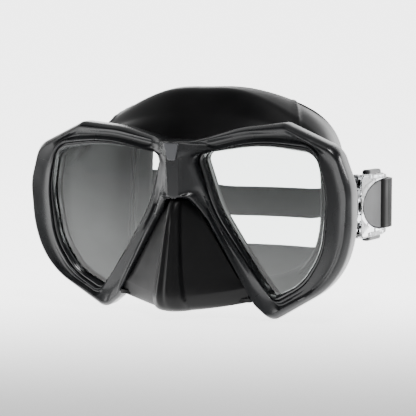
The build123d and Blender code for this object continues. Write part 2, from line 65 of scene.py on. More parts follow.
TILT = math.radians(4.0)
EYE_Y = -48.5
EYE_UP = np.array([0.0, -math.sin(TILT), math.cos(TILT)])
EYE_OUT = np.array([0.0, -math.cos(TILT), -math.sin(TILT)])
# lens opening: width, height, distance of its inner side from the middle, level of its lowest point
LENS_W, LENS_H, LENS_IN, LENS_LOW = 65.5, 75.5, 13.0, -44.5
GLASS_T, RETAINER_LIP, SEAT_GAP = 4.0, 3.0, 0.1
RIM_W, RIM_FRONT, FRAME_BACK = 10.5, 4.5, 6.0
ARCH_HALF, ARCH_TOP, BRIDGE_RISE = 6.2, 4.53, 11.5


def eye_to_world(x, up, out):
    """A point across, up and out of the lens plane, in the row frame."""
    x, up, out = np.broadcast_arrays(x, up, out)
    point = np.array([0.0, EYE_Y, 0.0]) + up[..., None] * EYE_UP + out[..., None] * EYE_OUT
    point[..., 0] += x
    return point


# ------------------------------------------------------------------ curves


def smoothstep(value):
    value = np.clip(value, 0.0, 1.0)
    return value * value * (3 - 2 * value)


def rounded(corners):
    """A closed outline with straight sides and tangent arcs, as points about 0.4 mm apart."""
    xy = np.array([c[:2] for c in corners], float)
    radius = np.array([c[2] for c in corners], float)
    into, away = xy - np.roll(xy, 1, 0), np.roll(xy, -1, 0) - xy
    into /= np.linalg.norm(into, axis=1)[:, None]
    away /= np.linalg.norm(away, axis=1)[:, None]
    turn = np.arctan2(into[:, 0] * away[:, 1] - into[:, 1] * away[:, 0], (into * away).sum(1))
    reach = radius * np.abs(np.tan(turn / 2))
    pieces = []
    for i in range(len(xy)):
        side = np.array([-into[i, 1], into[i, 0]]) * np.sign(turn[i])
        start = xy[i] - into[i] * reach[i]
        count = max(3, int(abs(turn[i]) * radius[i] / 0.4))
        angle = np.linspace(0, turn[i], count)
        spoke = -side * radius[i]
        arc = np.stack([spoke[0] * np.cos(angle) - spoke[1] * np.sin(angle),
                        spoke[0] * np.sin(angle) + spoke[1] * np.cos(angle)], 1)
        pieces.append(start + side * radius[i] + arc)
    return np.concatenate(pieces)


def walk(points, share, closed=True):
    """Points at the given shares of the length of a polyline."""
    if closed:
        points = np.vstack([points, points[:1]])
    run = np.concatenate([[0], np.cumsum(np.linalg.norm(np.diff(points, axis=0), axis=1))])
    share = np.asarray(share) * run[-1]
    return np.stack([np.interp(share, run, points[:, k]) for k in range(points.shape[1])], -1)


def spline(points, count, closed=False):
    """A smooth curve through points: cubic, with second derivatives from one linear system."""
    points = np.asarray(points, float)
    n = len(points)
    system, right = np.eye(n) * 4, np.zeros_like(points)
    if closed:
        system += np.roll(np.eye(n), 1, 0) + np.roll(np.eye(n), -1, 0)
        right = 6 * (np.roll(points, -1, 0) - 2 * points + np.roll(points, 1, 0))
        knots = np.vstack([points, points[:1]])
    else:
        system += np.eye(n, k=1) + np.eye(n, k=-1)
        system[0], system[-1] = np.eye(n)[0], np.eye(n)[-1]
        right[1:-1] = 6 * (points[2:] - 2 * points[1:-1] + points[:-2])
        knots = points
    bend = np.linalg.solve(system, right.reshape(n, -1)).reshape(points.shape)
    if closed:
        bend = np.concatenate([bend, bend[:1]])
    where = np.linspace(0, len(knots) - 1, count, endpoint=not closed)
    i = np.minimum(where.astype(int), len(knots) - 2)
    f = (where - i).reshape((-1,) + (1,) * (points.ndim - 1))
    return (knots[i] * (1 - f) + knots[i + 1] * f
            + ((1 - f)**3 - (1 - f)) * bend[i] / 6 + (f**3 - f) * bend[i + 1] / 6)


def outward(points):
    """Unit normals of a closed outline, pointing away from its inside."""
    along = np.roll(points, -1, 0) - np.roll(points, 1, 0)
    normal = np.stack([along[:, 1], -along[:, 0]], 1)
    normal /= np.linalg.norm(normal, axis=1)[:, None]
    area = (points[:, 0] * np.roll(points[:, 1], -1) - points[:, 1] * np.roll(points[:, 0], -1)).sum()
    return normal * np.sign(area)


def ray_reach(start, direction, outline):
    """Distance from each start point, along its direction, to a closed outline."""
    a, b = outline, np.roll(outline, -1, 0)
    edge = b - a
    cross = direction[:, None, 0] * edge[None, :, 1] - direction[:, None, 1] * edge[None, :, 0]
    gap = a[None] - start[:, None]
    cross = np.where(np.abs(cross) < 1e-9, 1e-9, cross)
    far = (gap[..., 0] * edge[None, :, 1] - gap[..., 1] * edge[None, :, 0]) / cross
    on = (gap[..., 0] * direction[:, None, 1] - gap[..., 1] * direction[:, None, 0]) / cross
    hit = (far > 1e-6) & (on >= -1e-6) & (on <= 1 + 1e-6)
    return np.where(hit, far, 1e9).min(1)


# ------------------------------------------------------------------ meshes


def grid_faces(rows, columns, wrap_rows, wrap_columns):
    """Quads between the points of a grid, closed round in each direction that wraps."""
    i, j = np.meshgrid(np.arange(rows if wrap_rows else rows - 1),
                       np.arange(columns if wrap_columns else columns - 1), indexing="ij")
    i2, j2 = (i + 1) % rows, (j + 1) % columns
    quads = np.stack([i * columns + j, i2 * columns + j, i2 * columns + j2, i * columns + j2], -1)
    return quads.reshape(-1, 4)


def weld(points, faces, size=1e-4):
    """Joins points that fall together and renumbers the faces to match."""
    key = np.round(points / size).astype(np.int64)
    _, first, back = np.unique(key, axis=0, return_index=True, return_inverse=True)
    faces = back.reshape(-1)[faces]
    return points[first], faces


def build(name, surfaces, slot, body="mask", replaces=(), thickness=0.0, sharp=50.0):
    """One object from (points, faces) surfaces in millimetres, in its slot's material. Faces that
    fold flat when points are joined are dropped."""
    points, faces, base = [], [], 0
    for p, f in surfaces:
        points.append(p.reshape(-1, 3))
        faces.append(f + base)
        base += len(points[-1])
    points, faces = weld(np.concatenate(points), np.concatenate(faces))
    open_faces = []
    for quad in faces.tolist():
        ring = [v for k, v in enumerate(quad) if v != quad[k - 1]]
        if len(set(ring)) == len(ring) and len(ring) > 2:
            open_faces.append(ring)
    mesh = bpy.data.meshes.new(name)
    mesh.from_pydata((points * MM).tolist(), [], open_faces)
    mesh.validate()
    mesh.materials.append(MATERIALS[slot])
    piece = bpy.data.objects.new(name, mesh)
    bpy.context.scene.collection.objects.link(piece)
    face_outwards(mesh)
    mesh.shade_smooth()
    mesh.set_sharp_from_angle(angle=math.radians(sharp))
    if thickness:
        solid = piece.modifiers.new("wall", "SOLIDIFY")
        solid.thickness, solid.offset = thickness * MM, -1
        solid.use_even_offset = False
    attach(piece, body)
    if replaces:
        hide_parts(*replaces)
    return piece


def face_outwards(mesh):
    work = bmesh.new()
    work.from_mesh(mesh)
    bmesh.ops.recalc_face_normals(work, faces=work.faces)
    work.to_mesh(mesh)
    work.free()


def mirrored(surface):
    points, faces = surface
    return points * np.array([-1.0, 1.0, 1.0]), faces[:, ::-1]


# ------------------------------------------------------------------ outlines shared with the frame


def lens_point(across, up, right=0.0, rise=0.0):
    """A place given in shares of the lens opening, moved sideways and up by shares of the rim width."""
    return [LENS_IN + across * LENS_W + right * RIM_W, LENS_LOW + up * LENS_H + rise * RIM_W]


def lens_outline(count, grow=0.0):
    """The lens opening, evenly walked by length and turning, from the inner top corner."""
    corners = [(-0.02, 0.94, 4), (0.49, 1.0, 90), (0.93, 0.95, 9), (1.0, 0.67, 50),
               (0.94, 0.31, 35), (0.78, 0.11, 25), (0.535, 0.0, 4), (0.113, 0.576, 60)]
    fine = walk(rounded([(*lens_point(a, u), r) for a, u, r in corners]), np.arange(2400) / 2400)
    normal = outward(fine)
    turning = np.linalg.norm(np.roll(normal, -1, 0) - normal, axis=1) * 8.0
    step = np.linalg.norm(np.roll(fine, -1, 0) - fine, axis=1) + turning
    where = np.concatenate([[0], np.cumsum(step)])
    share = np.interp(np.arange(count) / count * where[-1], where, np.arange(2401) / 2400)
    points = walk(fine, share)
    normal = walk(normal, share)
    normal /= np.linalg.norm(normal, axis=1)[:, None]
    return points + normal * grow, normal


def nose_line_x(z):
    """Edge of the frame leg beside the nose at a level: a straight line one rim width from the lens."""
    low, high = lens_point(0.55, 0.0), lens_point(0.1375, 0.576)
    run, rise = high[0] - low[0], high[1] - low[1]
    return low[0] - RIM_W * math.hypot(run, rise) / rise + (z - low[1]) * run / rise


def frame_half_outline():
    """The +X half of the frame's outer edge, closed down the mirror line."""
    low = lens_point(0.55, 0.0, -0.86, -0.52)[1]
    top = lens_point(0.0, 0.94, -0.35, 0.65)
    corners = [(0.0, ARCH_TOP, 0.01), (0.0, top[1], 0.01), (*top, 8),
               (*lens_point(0.32, 0.98, 0.0, 0.98), 60), (*lens_point(0.68, 1.0, 0.0, 1.07), 4),
               (*lens_point(0.93, 0.95, 1.1, 0.25), 12),
               (*lens_point(1.0, 0.67, 1.28, 0.5), 30), (*lens_point(0.97, 0.43, 1.42, 0.0), 56),
               (*lens_point(0.85, 0.21, 1.5, -0.61), 40), (*lens_point(0.55, 0.0, -0.05, -1.13), 6),
               (nose_line_x(low), low, 6), (ARCH_HALF, ARCH_TOP, 3.6)]
    return rounded(corners)


# ------------------------------------------------------------------ materials


def linear(hex_colour):
    """sRGB hex to linear RGBA."""
    value = np.array([int(hex_colour[i:i + 2], 16) for i in (1, 3, 5)]) / 255
    value = np.where(value <= 0.04045, value / 12.92, ((value + 0.055) / 1.055)**2.4)
    return (*value.tolist(), 1.0)


def node(tree, kind, links=(), **settings):
    """Adds one node; settings are its properties or socket values, links feed its sockets."""
    made = tree.nodes.new(kind)
    for key, value in settings.items():
        if key in made.bl_rna.properties:
            setattr(made, key, value)
        else:
            made.inputs[key.replace("_", " ")].default_value = value
    for socket, source in links:
        tree.links.new(source, made.inputs[socket])
    return made


def new_material(name, **surface):
    material = bpy.data.materials.new(name)
    material.use_nodes = True
    shader = material.node_tree.nodes["Principled BSDF"]
    for key, value in surface.items():
        shader.inputs[key.replace("_", " ")].default_value = value
    return material, material.node_tree, shader


def uneven(tree, shader, scale, low, high):
    """Slow noise that drives the roughness between two values. Returns the coordinates and noise."""
    place = node(tree, "ShaderNodeTexCoord")
    slow = node(tree, "ShaderNodeTexNoise", [("Vector", place.outputs["Object"])], Scale=scale, Detail=3.0)
    gloss = node(tree, "ShaderNodeMapRange", [("Value", slow.outputs["Fac"])], From_Min=0.3, From_Max=0.7,
                 To_Min=low, To_Max=high)
    tree.links.new(gloss.outputs["Result"], shader.inputs["Roughness"])
    return place, slow


def moulded(name, colour, mottle, roughness, spread, bump_mm, grain_mm, **surface):
    """A moulded surface: slow colour change, uneven gloss and a fine skin texture."""
    material, tree, shader = new_material(name, **surface)
    place, slow = uneven(tree, shader, 60.0, roughness - spread, roughness + spread)
    tint = node(tree, "ShaderNodeMix", data_type="RGBA")
    tree.links.new(slow.outputs["Fac"], tint.inputs[0])
    tint.inputs[6].default_value, tint.inputs[7].default_value = linear(colour), linear(mottle)
    tree.links.new(tint.outputs[2], shader.inputs["Base Color"])
    fine = node(tree, "ShaderNodeTexNoise", [("Vector", place.outputs["Object"])],
                Scale=1000.0 / grain_mm, Detail=2.0)
    bump = node(tree, "ShaderNodeBump", [("Height", fine.outputs["Fac"])],
                Strength=0.4, Distance=bump_mm * MM)
    tree.links.new(bump.outputs["Normal"], shader.inputs["Normal"])
    return material


def see_through(name, colour, index, low, high, ripple_mm, ripple_size_mm):
    """A clear solid: colourless, with faint unevenness in its gloss and a trace of moulding ripple."""
    material, tree, shader = new_material(name, Base_Color=linear(colour), IOR=index, Transmission_Weight=1.0)
    place, _ = uneven(tree, shader, 90.0, low, high)
    wave = node(tree, "ShaderNodeTexNoise", [("Vector", place.outputs["Object"])],
                Scale=1000.0 / ripple_size_mm, Detail=1.0)
    bump = node(tree, "ShaderNodeBump", [("Height", wave.outputs["Fac"])],
                Strength=0.3, Distance=ripple_mm * MM)
    tree.links.new(bump.outputs["Normal"], shader.inputs["Normal"])
    return material


def ribbed(material, pitch_mm, depth_mm, direction):
    """Adds fine parallel moulded ribs under the skin texture of a material. A wave texture repeats
    every 2 pi / 20 units at a scale of one."""
    tree = material.node_tree
    skin = next(n for n in tree.nodes if n.bl_idname == "ShaderNodeBump")
    place = next(n for n in tree.nodes if n.bl_idname == "ShaderNodeTexCoord")
    wave = node(tree, "ShaderNodeTexWave", [("Vector", place.outputs["Object"])], bands_direction=direction,
                Scale=2 * math.pi / 20 / (pitch_mm * MM))
    ribs = node(tree, "ShaderNodeBump", [("Height", wave.outputs["Fac"])],
                Strength=1.0, Distance=depth_mm * MM)
    tree.links.new(ribs.outputs["Normal"], skin.inputs["Normal"])
    return material


def make_materials():
    made = {}
    # black polycarbonate, moulded and polished: deep black with a clean broad gloss
    made["frame_plastic"] = moulded("black_polycarbonate", "#0e0f11", "#131416", 0.27, 0.05, 0.004, 0.8,
                                    Specular_IOR_Level=0.35, Coat_Weight=0.1, Coat_Roughness=0.1)
    # the same plastic from a more polished mould: the thin ring catches a sharp line of light
    made["retainer_plastic"] = moulded("ring_polycarbonate", "#0f1012", "#141517", 0.2, 0.04, 0.003, 0.8,
                                       Coat_Weight=0.3, Coat_Roughness=0.08)
    # satin insert: its colour is a greyer painted highlight, standing in for light falling on its top facet,
    # and its gloss is softer than the frame round it
    made["cap_plastic"] = moulded("grey_insert_painted_highlight", "#3c3d40", "#46474a", 0.34, 0.05, 0.006, 0.5)
    # liquid silicone rubber from a polished mould: black, with a soft and slightly uneven gloss
    made["skirt_silicone"] = moulded("polished_silicone", "#040405", "#070708", 0.4, 0.05, 0.0015, 2.0,
                                     Specular_IOR_Level=0.2)
    # the strap is the same rubber from a matt mould
    made["strap_silicone"] = moulded("matt_silicone", "#050506", "#090909", 0.5, 0.06, 0.01, 0.9,
                                     Specular_IOR_Level=0.15)
    # black moulded lug behind the frame: a soft sheen that stays in the background
    made["lug_plastic"] = moulded("satin_lug", "#101113", "#17181a", 0.42, 0.05, 0.006, 0.6)
    # acetal buttons: slightly waxy black with an even, dull highlight
    made["button_plastic"] = moulded("black_acetal", "#141517", "#1b1c1f", 0.4, 0.05, 0.006, 0.5)
    # the same acetal with fine upright grip ribs across the lever's face
    made["lever_plastic"] = ribbed(moulded("ribbed_acetal", "#191a1c", "#202124", 0.45, 0.05, 0.006, 0.5),
                                   1.1, 0.12, "Y")
    # acetal that runs on steel or rubs on the strap: smoother, so a little brighter
    made["roller_plastic"] = moulded("roller_acetal", "#242528", "#2b2c30", 0.35, 0.05, 0.006, 0.5)
    # washers of the uncoloured acetal: off-white and waxy
    made["washer_plastic"] = moulded("natural_acetal", "#d9d7d0", "#cfcdc6", 0.4, 0.05, 0.01, 0.5)
    # stainless steel: bright, with a fine grain that spreads the light
    made["pin_steel"] = moulded("turned_steel", "#b9babc", "#a7a8ab", 0.28, 0.06, 0.006, 0.3, Metallic=1.0)
    made["spring_steel"] = moulded("spring_wire", "#c0c1c3", "#b0b1b4", 0.25, 0.05, 0.004, 0.3, Metallic=1.0)
    # tempered soda-lime glass: colourless face on, with the faintest haze of handling
    made["lens_glass"] = see_through("tempered_glass", "#f4faf8", 1.5, 0.0, 0.006, 0.0001, 40.0)
    # clear polished polycarbonate: colourless, strong highlights on every rounded edge
    made["buckle_clear"] = see_through("clear_polycarbonate", "#f6f8fb", 1.58, 0.02, 0.07, 0.002, 4.0)
    return made


MATERIALS = make_materials()


def paint_cad_nodes():
    """Each CAD node that stays in view takes the material of its slot."""
    slots = {s["node"]: s["material_slot"] for s in frame["record"]["subparts"]}
    for name, piece in frame["nodes"].items():
        piece.data.materials.clear()
        piece.data.materials.append(MATERIALS[slots[name]])


paint_cad_nodes()


# ------------------------------------------------------------------ frame


def bridge_lift(x, up):
    """How far the bridge stands proud of the rim: a flat middle strip between two shallow valleys,
    then facets that fade out to the sides and down the legs beside the nose."""
    far = np.abs(x)
    full = np.interp(far, [0, 3.4, 4.6, 6.0, 9.5, 15.0], [1.0, 1.0, 0.84, 0.88, 0.5, 0.0])
    return (BRIDGE_RISE - RIM_FRONT) * full * smoothstep((up + 16) / 19.0)


# profile of the rim: distance from the lens edge, share of the middle, distance from the outer
# edge; and the height of each row over the glass face
RIM_ROWS = [(0.0, 0, 0, -5.9), (0.0, 0, 0, 0.0), (0.0, 0, 0, 3.2), (0.25, 0, 0, 3.6), (0.7, 0, 0, 3.8),
            (1.2, 0, 0, 3.7), (1.2, 0.2, 3.4, 3.0), (1.2, 0.4, 3.4, 2.5), (1.2, 0.6, 3.4, 2.5),
            (1.2, 0.8, 3.4, 3.2), (0, 1, 3.4, 4.3), (0, 1, 2.7, 4.5), (0, 1, 2.2, 4.35), (0, 1, 1.4, 3.5),
            (0, 1, 0.7, 2.6), (0, 1, 0.2, 1.8), (0, 1, 0.0, 1.0), (0, 1, 0.0, -1.0), (0, 1, 0.0, -4.8),
            (0, 1, 0.15, -5.6), (0, 1, 0.6, -6.0), (0.6, 0.5, 0.6, -6.0), (0.3, 0.02, 0.6, -6.0)]


def frame_half():
    """Closed cross-section carried round one lens: inner wall, hollow face, raised outer ridge,
    bevel, outer wall and back. Rows run square to the lens edge out to the frame's edge. At the
    mirror line there is no bevel, so that the two halves join flush."""
    inner, normal = lens_outline(480, RETAINER_LIP + SEAT_GAP)
    reach = ray_reach(inner, normal, frame_half_outline())
    free = smoothstep(((inner + normal * reach[:, None])[:, 0] - 0.2) / 2.0)
    near, share, far, rise = np.array(RIM_ROWS).T[:, :, None]
    far = far * np.minimum(1, reach / 7.0)
    out = np.where(share > 0, np.where(share < 1, near + (reach - near - far) * share, reach - far), near)
    flat = np.where((share >= 1) & (rise > -0.5), 1 - free, 0)
    rise = rise + (4.3 - rise) * flat
    along = inner[None] + normal[None] * out[..., None]
    along[..., 0] = np.where(np.abs(along[..., 0]) < 0.05, 0.0, along[..., 0])
    lifted = rise + np.where(rise > 1.0, 1.0, 0.0) * bridge_lift(along[..., 0], along[..., 1])
    points = eye_to_world(along[..., 0], along[..., 1], lifted)
    faces = grid_faces(len(RIM_ROWS), len(inner), True, True)
    on_mirror = (np.abs(points.reshape(-1, 3)[:, 0]) < 1e-6)[faces].all(1)
    return points, faces[~on_mirror]


def make_frame():
    half = frame_half()
    lip = lens_lip()
    build("frame_shell", [half, mirrored(half)], "frame_plastic", replaces=["frame"], sharp=38)
    build("frame_lip", [lip, mirrored(lip)], "frame_plastic")


def lens_lip():
    """The shelf behind the glass: a square ring from the seat in to the clear opening."""
    seat, _ = lens_outline(420, RETAINER_LIP + SEAT_GAP)
    clear, _ = lens_outline(420)
    front = -GLASS_T - 0.05
    ring = [eye_to_world(edge[:, 0], edge[:, 1], out)
            for edge, out in ((seat, front), (clear, front), (clear, -FRAME_BACK), (seat, -FRAME_BACK))]
    return np.stack(ring), grid_faces(4, 420, True, True)


def make_retainers():
    """Ring with a rolled inner edge and a fine step: its section is carried round the lens."""
    edge, normal = lens_outline(420)
    out = np.array([0.05, 0.1, 0.35, 0.8, 1.25, 1.45, 1.6, 1.8, 2.1, 2.5, 2.85, 3.0, 3.0])
    rise = np.array([0.02, 0.9, 1.7, 2.4, 2.9, 3.0, 2.72, 2.62, 2.66, 2.6, 2.4, 2.0, 0.02])
    line = edge[None] + normal[None] * out[:, None, None]
    points = eye_to_world(line[..., 0], line[..., 1], rise[:, None])
    ring = points, grid_faces(len(out), 420, True, True)
    for side, surface in (("left", ring), ("right", mirrored(ring))):
        build(f"retainer_ring_{side}", [surface], "retainer_plastic",
              replaces=[f"lens_retainer_{side}"], sharp=60)


# ------------------------------------------------------------------ skirt

FACE_R, FACE_Y, FACE_SLOPE = 74.0, -25.0, 0.08
SEAL_W, SKIRT_T = 9.0, 2.0
BROW_TOP, CHIN, SKIRT_SIDE = 60.0, LENS_LOW - 4.0, 76.8
ROUND = 360            # points round each ring of the skirt
LIP_ROLL = 1.6         # radius of the roll from the wall into the seal lip
INNER_SEAL_AHEAD = 9.0
RIB_HIGH, STEP_DEEP = 0.8, 0.6


def face_y(x, z):
    """Depth of the face surface: an upright cylinder that leans back a little at the top."""
    return FACE_Y + FACE_SLOPE * z + FACE_R - np.sqrt(np.maximum(FACE_R**2 - x**2, 1))


def skirt_stations():
    """Half outlines of the wall as (x, z, y) from the frame back to the temples."""
    edge, side, top, chin = LENS_IN + LENS_W + 2.0, SKIRT_SIDE, BROW_TOP, CHIN
    front = [(0, 30.5), (28, 35), (56, 37), (edge - 3.5, 26), (edge, 4), (edge - 3, -20),
             (68, -38), (47, chin + 0.5), (22, chin + 1), (0, chin + 1)]
    back = [(0, 45), (24, 44.5), (50, 38.5), (side - 5, 26), (side, 4), (side - 3, -21), (65, -38),
            (46, chin + 1), (22, chin), (0, chin)]
    brow = [(0, 59.3), (22, 58), (48, 47.5), (side - 6.5, 30), (side - 1, 4), (side - 4, -21),
            (62, -38), (44, chin + 1), (22, chin - 0.5), (0, chin - 1)]
    cheek = [(0, top + 0.6), (22, 59.6), (46, 51), (side - 11.5, 33.5), (side - 6, 3), (side - 8, -20),
             (59, -36.5), (43, chin + 1.5), (22, chin - 0.5), (0, chin - 1.5)]
    temple = [(0, top + 0.6), (22, 59.2), (42, 50), (side - 22, 30), (side - 20, 2), (side - 21.5, -19),
              (49, -34.5), (38, chin + 2), (22, chin - 0.5), (0, chin - 1.5)]
    rows = []
    for y, half in ((None, front), (-37.0, back), (-27.0, brow), (-9.0, cheek), (30.0, temple)):
        ring = np.array(half + [(-x, z) for x, z in reversed(half[1:-1])], float)
        ring = spline(ring, ROUND, closed=True)
        depth = eye_to_world(ring[:, 0], ring[:, 1], -FRAME_BACK)[:, 1] if y is None else np.full(ROUND, y)
        rows.append(np.stack([ring[:, 0], depth, ring[:, 1]], 1))
    return np.array(rows)


def steady(stations, where):
    """Curve through stations that never overshoots: cubic with slopes held to the flatter side."""
    step = np.diff(stations, axis=0)
    slope = np.zeros_like(stations)
    same = step[:-1] * step[1:] > 0
    slope[1:-1] = np.where(same, 2 * step[:-1] * step[1:] / np.where(same, step[:-1] + step[1:], 1), 0)
    slope[0], slope[-1] = step[0], step[-1]
    i = np.minimum(where.astype(int), len(stations) - 2)
    f = (where - i)[..., None]
    column = np.arange(stations.shape[1])
    a, b, ma, mb = stations[i, column], stations[i + 1, column], slope[i, column], slope[i + 1, column]
    return (a * (1 + 2 * f) * (1 - f)**2 + ma * f * (1 - f)**2
            + b * f * f * (3 - 2 * f) + mb * f * f * (f - 1))


def where_wall_ends(stations, ahead):
    """How far along its stations each column runs before it comes within a distance of the face."""
    fine = np.linspace(0, len(stations) - 1, 600)
    path = steady(stations, np.repeat(fine[:, None], ROUND, 1))
    past = path[..., 1] - face_y(path[..., 0], path[..., 2]) + ahead > 0
    return fine[np.maximum(np.argmax(past, axis=0), 1)]


def ring_normal(ring):
    """Normals of one ring of the skirt that point away from its inside, square to Y."""
    flat = outward(ring[:, [0, 2]])
    return np.stack([flat[:, 0], np.zeros(ROUND), flat[:, 1]], 1)


def rib_shift(points):
    """Upright rib on each side of the forehead, with the shallow step behind it."""
    x, y, z = np.abs(points[..., 0]), points[..., 1], points[..., 2]
    across = x + 0.53 * (y + 13.5) - 45.7
    rib = RIB_HIGH * np.exp(-(across / 1.1)**2)
    step = STEP_DEEP * smoothstep((across + 0.5) / 2.0) * (1 - smoothstep((across - 12) / 12))
    return smoothstep((z - 30) / 6) * (rib - step)


def skirt_wall():
    """Wall lofted from the frame to the face, rolled over a small radius into the seal lip, which
    follows the face inwards. Each row is one closed ring."""
    stations = skirt_stations()
    share = np.linspace(0, 1, 44)[:, None]
    wall = steady(stations, share * where_wall_ends(stations, LIP_ROLL)[None])
    rim = wall[-1]
    along = rim - wall[-3]
    along /= np.linalg.norm(along, axis=1)[:, None]
    side = -ring_normal(rim)
    rows = [wall]
    for angle in np.linspace(15, 75, 5):
        turn = math.radians(angle)
        rows.append((rim + along * LIP_ROLL * math.sin(turn) + side * LIP_ROLL * (1 - math.cos(turn)))[None])
    for reach in (2.2, 3.2, 4.6, 6.2, 7.7, SEAL_W):
        flat = rim + side * reach
        flat[:, 1] = face_y(flat[:, 0], flat[:, 2]) - 0.15 * max(reach - 5, 0)
        rows.append(flat[None])
    points = np.concatenate(rows)
    normal = np.array([ring_normal(ring) for ring in wall])
    points[:len(wall)] += normal * rib_shift(wall)[..., None]
    return points, grid_faces(len(points), ROUND, False, True)


def inner_seal():
    """Second, shorter lip inside the first: a thin band that curves in towards the face."""
    stations = skirt_stations()
    root = steady(stations, where_wall_ends(stations, INNER_SEAL_AHEAD)[None])[0]
    side = -ring_normal(root)
    rows = []
    for reach, back in ((1.0, 0.0), (3.0, 0.3), (5.5, 1.2), (8.0, 2.8), (10.0, 4.8), (11.5, 6.6)):
        rows.append(root + side * reach + np.array([0, back, 0]))
    return np.array(rows), grid_faces(len(rows), ROUND, False, True)


def flange_half():
    """Flat web behind the frame, from the lens window out to near the frame's edge."""
    inner, normal = lens_outline(300, 0.2)
    reach = ray_reach(inner, normal, frame_half_outline())
    end = inner + normal * reach[:, None]
    reach = np.where(end[:, 0] > 0.3, reach - 2.2, reach)
    out = np.array([0.0, 0.0, 0.5, 1.0, 1.0, 0.5])
    rise = np.array([-7.9, -6.1, -6.1, -6.1, -7.9, -7.9])
    line = inner[None] + normal[None] * (reach[None] * out[:, None])[..., None]
    line[..., 0] = np.where(np.abs(line[..., 0]) < 0.05, 0.0, line[..., 0])
    points = eye_to_world(line[..., 0], line[..., 1], rise[:, None])
    faces = grid_faces(6, 300, True, True)
    return points, faces[~(np.abs(points.reshape(-1, 3)[:, 0]) < 1e-6)[faces].all(1)]


def nose_pocket():
    """Pocket drawn forward from the arch: each level is a rounded hump across, fluted down its
    cheeks; the lowest levels sweep up towards the frame legs and close underneath."""
    level = np.array([(ARCH_TOP, 1.5, -53.5), (ARCH_TOP - 1.0, 2.5, -57.0), (ARCH_TOP - 4.0, 3.4, -61.5),
                      (-12.0, 4.6, -65.8), (-30.0, 6.4, -69.6), (-41.5, 8.0, -71.9), (-47.0, 8.8, -71.2),
                      (-50.5, 9.0, -68.5), (-52.3, 8.5, -64.0), (-52.8, 8.0, -58.0), (-52.4, 8.0, -50.0),
                      (-50.5, 8.0, -40.0)])
    rows = spline(level, 160)
    z, ridge, depth = rows[:, :1], rows[:, 1:2], rows[:, 2:3]
    half = nose_line_x(np.maximum(z, LENS_LOW)) - 0.5
    rim = EYE_Y - RIM_FRONT - z * math.tan(TILT) + 1.5
    across = np.linspace(-1, 1, 241)[None]
    x = half * across
    away = np.clip((np.abs(x) - ridge) / (half - ridge), 0, 1)
    crown = np.clip(np.abs(x) / ridge, 0, 1)
    cheek = 0.62 * (1 - away)**1.15
    hump = np.where(np.abs(x) < ridge, 0.62 + 0.38 * np.sqrt(np.maximum(1 - crown**2.2, 0)), cheek)
    flute = 0.5 * np.cos(crown * 3 * math.pi) * (np.abs(x) < ridge * 1.01)
    flute = flute * smoothstep((ARCH_TOP - 6 - z) / 14) * smoothstep((z + 52) / 9)
    y = rim + (depth - rim) * hump + flute
    lift = 5.5 * smoothstep((-34 - z) / 14) * np.abs(across)**1.6
    front = np.stack([x, y, z + lift], -1)
    back = front[:, [0, -1]].copy()
    back[..., 1] = -41.0
    points = np.concatenate([back[:, :1], front, back[:, 1:]], 1)
    return points, grid_faces(*points.shape[:2], False, False)


def make_skirt():
    flange = flange_half()
    build("skirt_wall", [skirt_wall()], "skirt_silicone", replaces=["skirt"], thickness=SKIRT_T, sharp=80)
    build("skirt_inner_seal", [inner_seal()], "skirt_silicone", thickness=1.0, sharp=80)
    build("skirt_flange", [flange, mirrored(flange)], "skirt_silicone")
    build("nose_pocket", [nose_pocket()], "skirt_silicone", thickness=1.8, sharp=80)


# ------------------------------------------------------------------ strap

STRAP_T, STRAP_HALF, STRAP_REAR_Y, STRAP_DROOP, STRAP_BACK_HALF = 1.8, 12.5, 60.0, 22.8, 26.0
BAND_GAP_HALF, SLOT_Y, ROLLER_X, ROLLER_Y, WRAP_R = 8.0, 40.0, 82.51, 9.5, 2.9
RIB_PITCH = 1.9        # grip ribs across the strap


def strap_run():
    """Middle line from above: tail, turn round the roller, round the back and the same again."""
    outer, inner = ROLLER_X + WRAP_R, ROLLER_X - WRAP_R
    tail = spline([(inner - 3.0, 25.0), (inner - 0.4, 16.0), (inner, ROLLER_Y)], 30)
    turn = np.linspace(math.pi, 2 * math.pi, 24)
    wrap = np.stack([ROLLER_X + WRAP_R * np.cos(turn), ROLLER_Y + WRAP_R * np.sin(turn)], 1)
    half = np.array([(outer, ROLLER_Y), (outer - 0.3, 17.0), (outer - 3.6, 26.0), (outer - 11.0, 34.0),
                     (outer - 24.0, 41.5), (outer - 40.0, 48.5), (24.0, STRAP_REAR_Y - 3.5),
                     (0, STRAP_REAR_Y)])
    whole = np.vstack([half, half[-2::-1] * [-1, 1]])
    round_back = spline(whole, 400)
    side = np.vstack([tail[:-1], wrap[:-1]])
    line = np.vstack([side, round_back, side[::-1] * [-1, 1]])
    return walk(line, np.linspace(0, 1, 700), closed=False)


def strap_heights(y):
    """Upper edge, slot upper edge, slot lower edge and lower edge at a distance back."""
    low, high = -STRAP_DROOP - STRAP_BACK_HALF, -STRAP_DROOP + STRAP_BACK_HALF
    back = smoothstep((y - 39) / (STRAP_REAR_Y - 42.0))
    top = STRAP_HALF + (high - STRAP_HALF) * back
    bottom = -STRAP_HALF + (low + STRAP_HALF) * back
    open_ = smoothstep((y - SLOT_Y) / (STRAP_REAR_Y - SLOT_Y - 7.0))
    slot = -4.5 + (-STRAP_DROOP + 1.0 + 4.5) * back
    return top, slot + 0.15 + BAND_GAP_HALF * open_, slot - 0.15 - BAND_GAP_HALF * open_, bottom


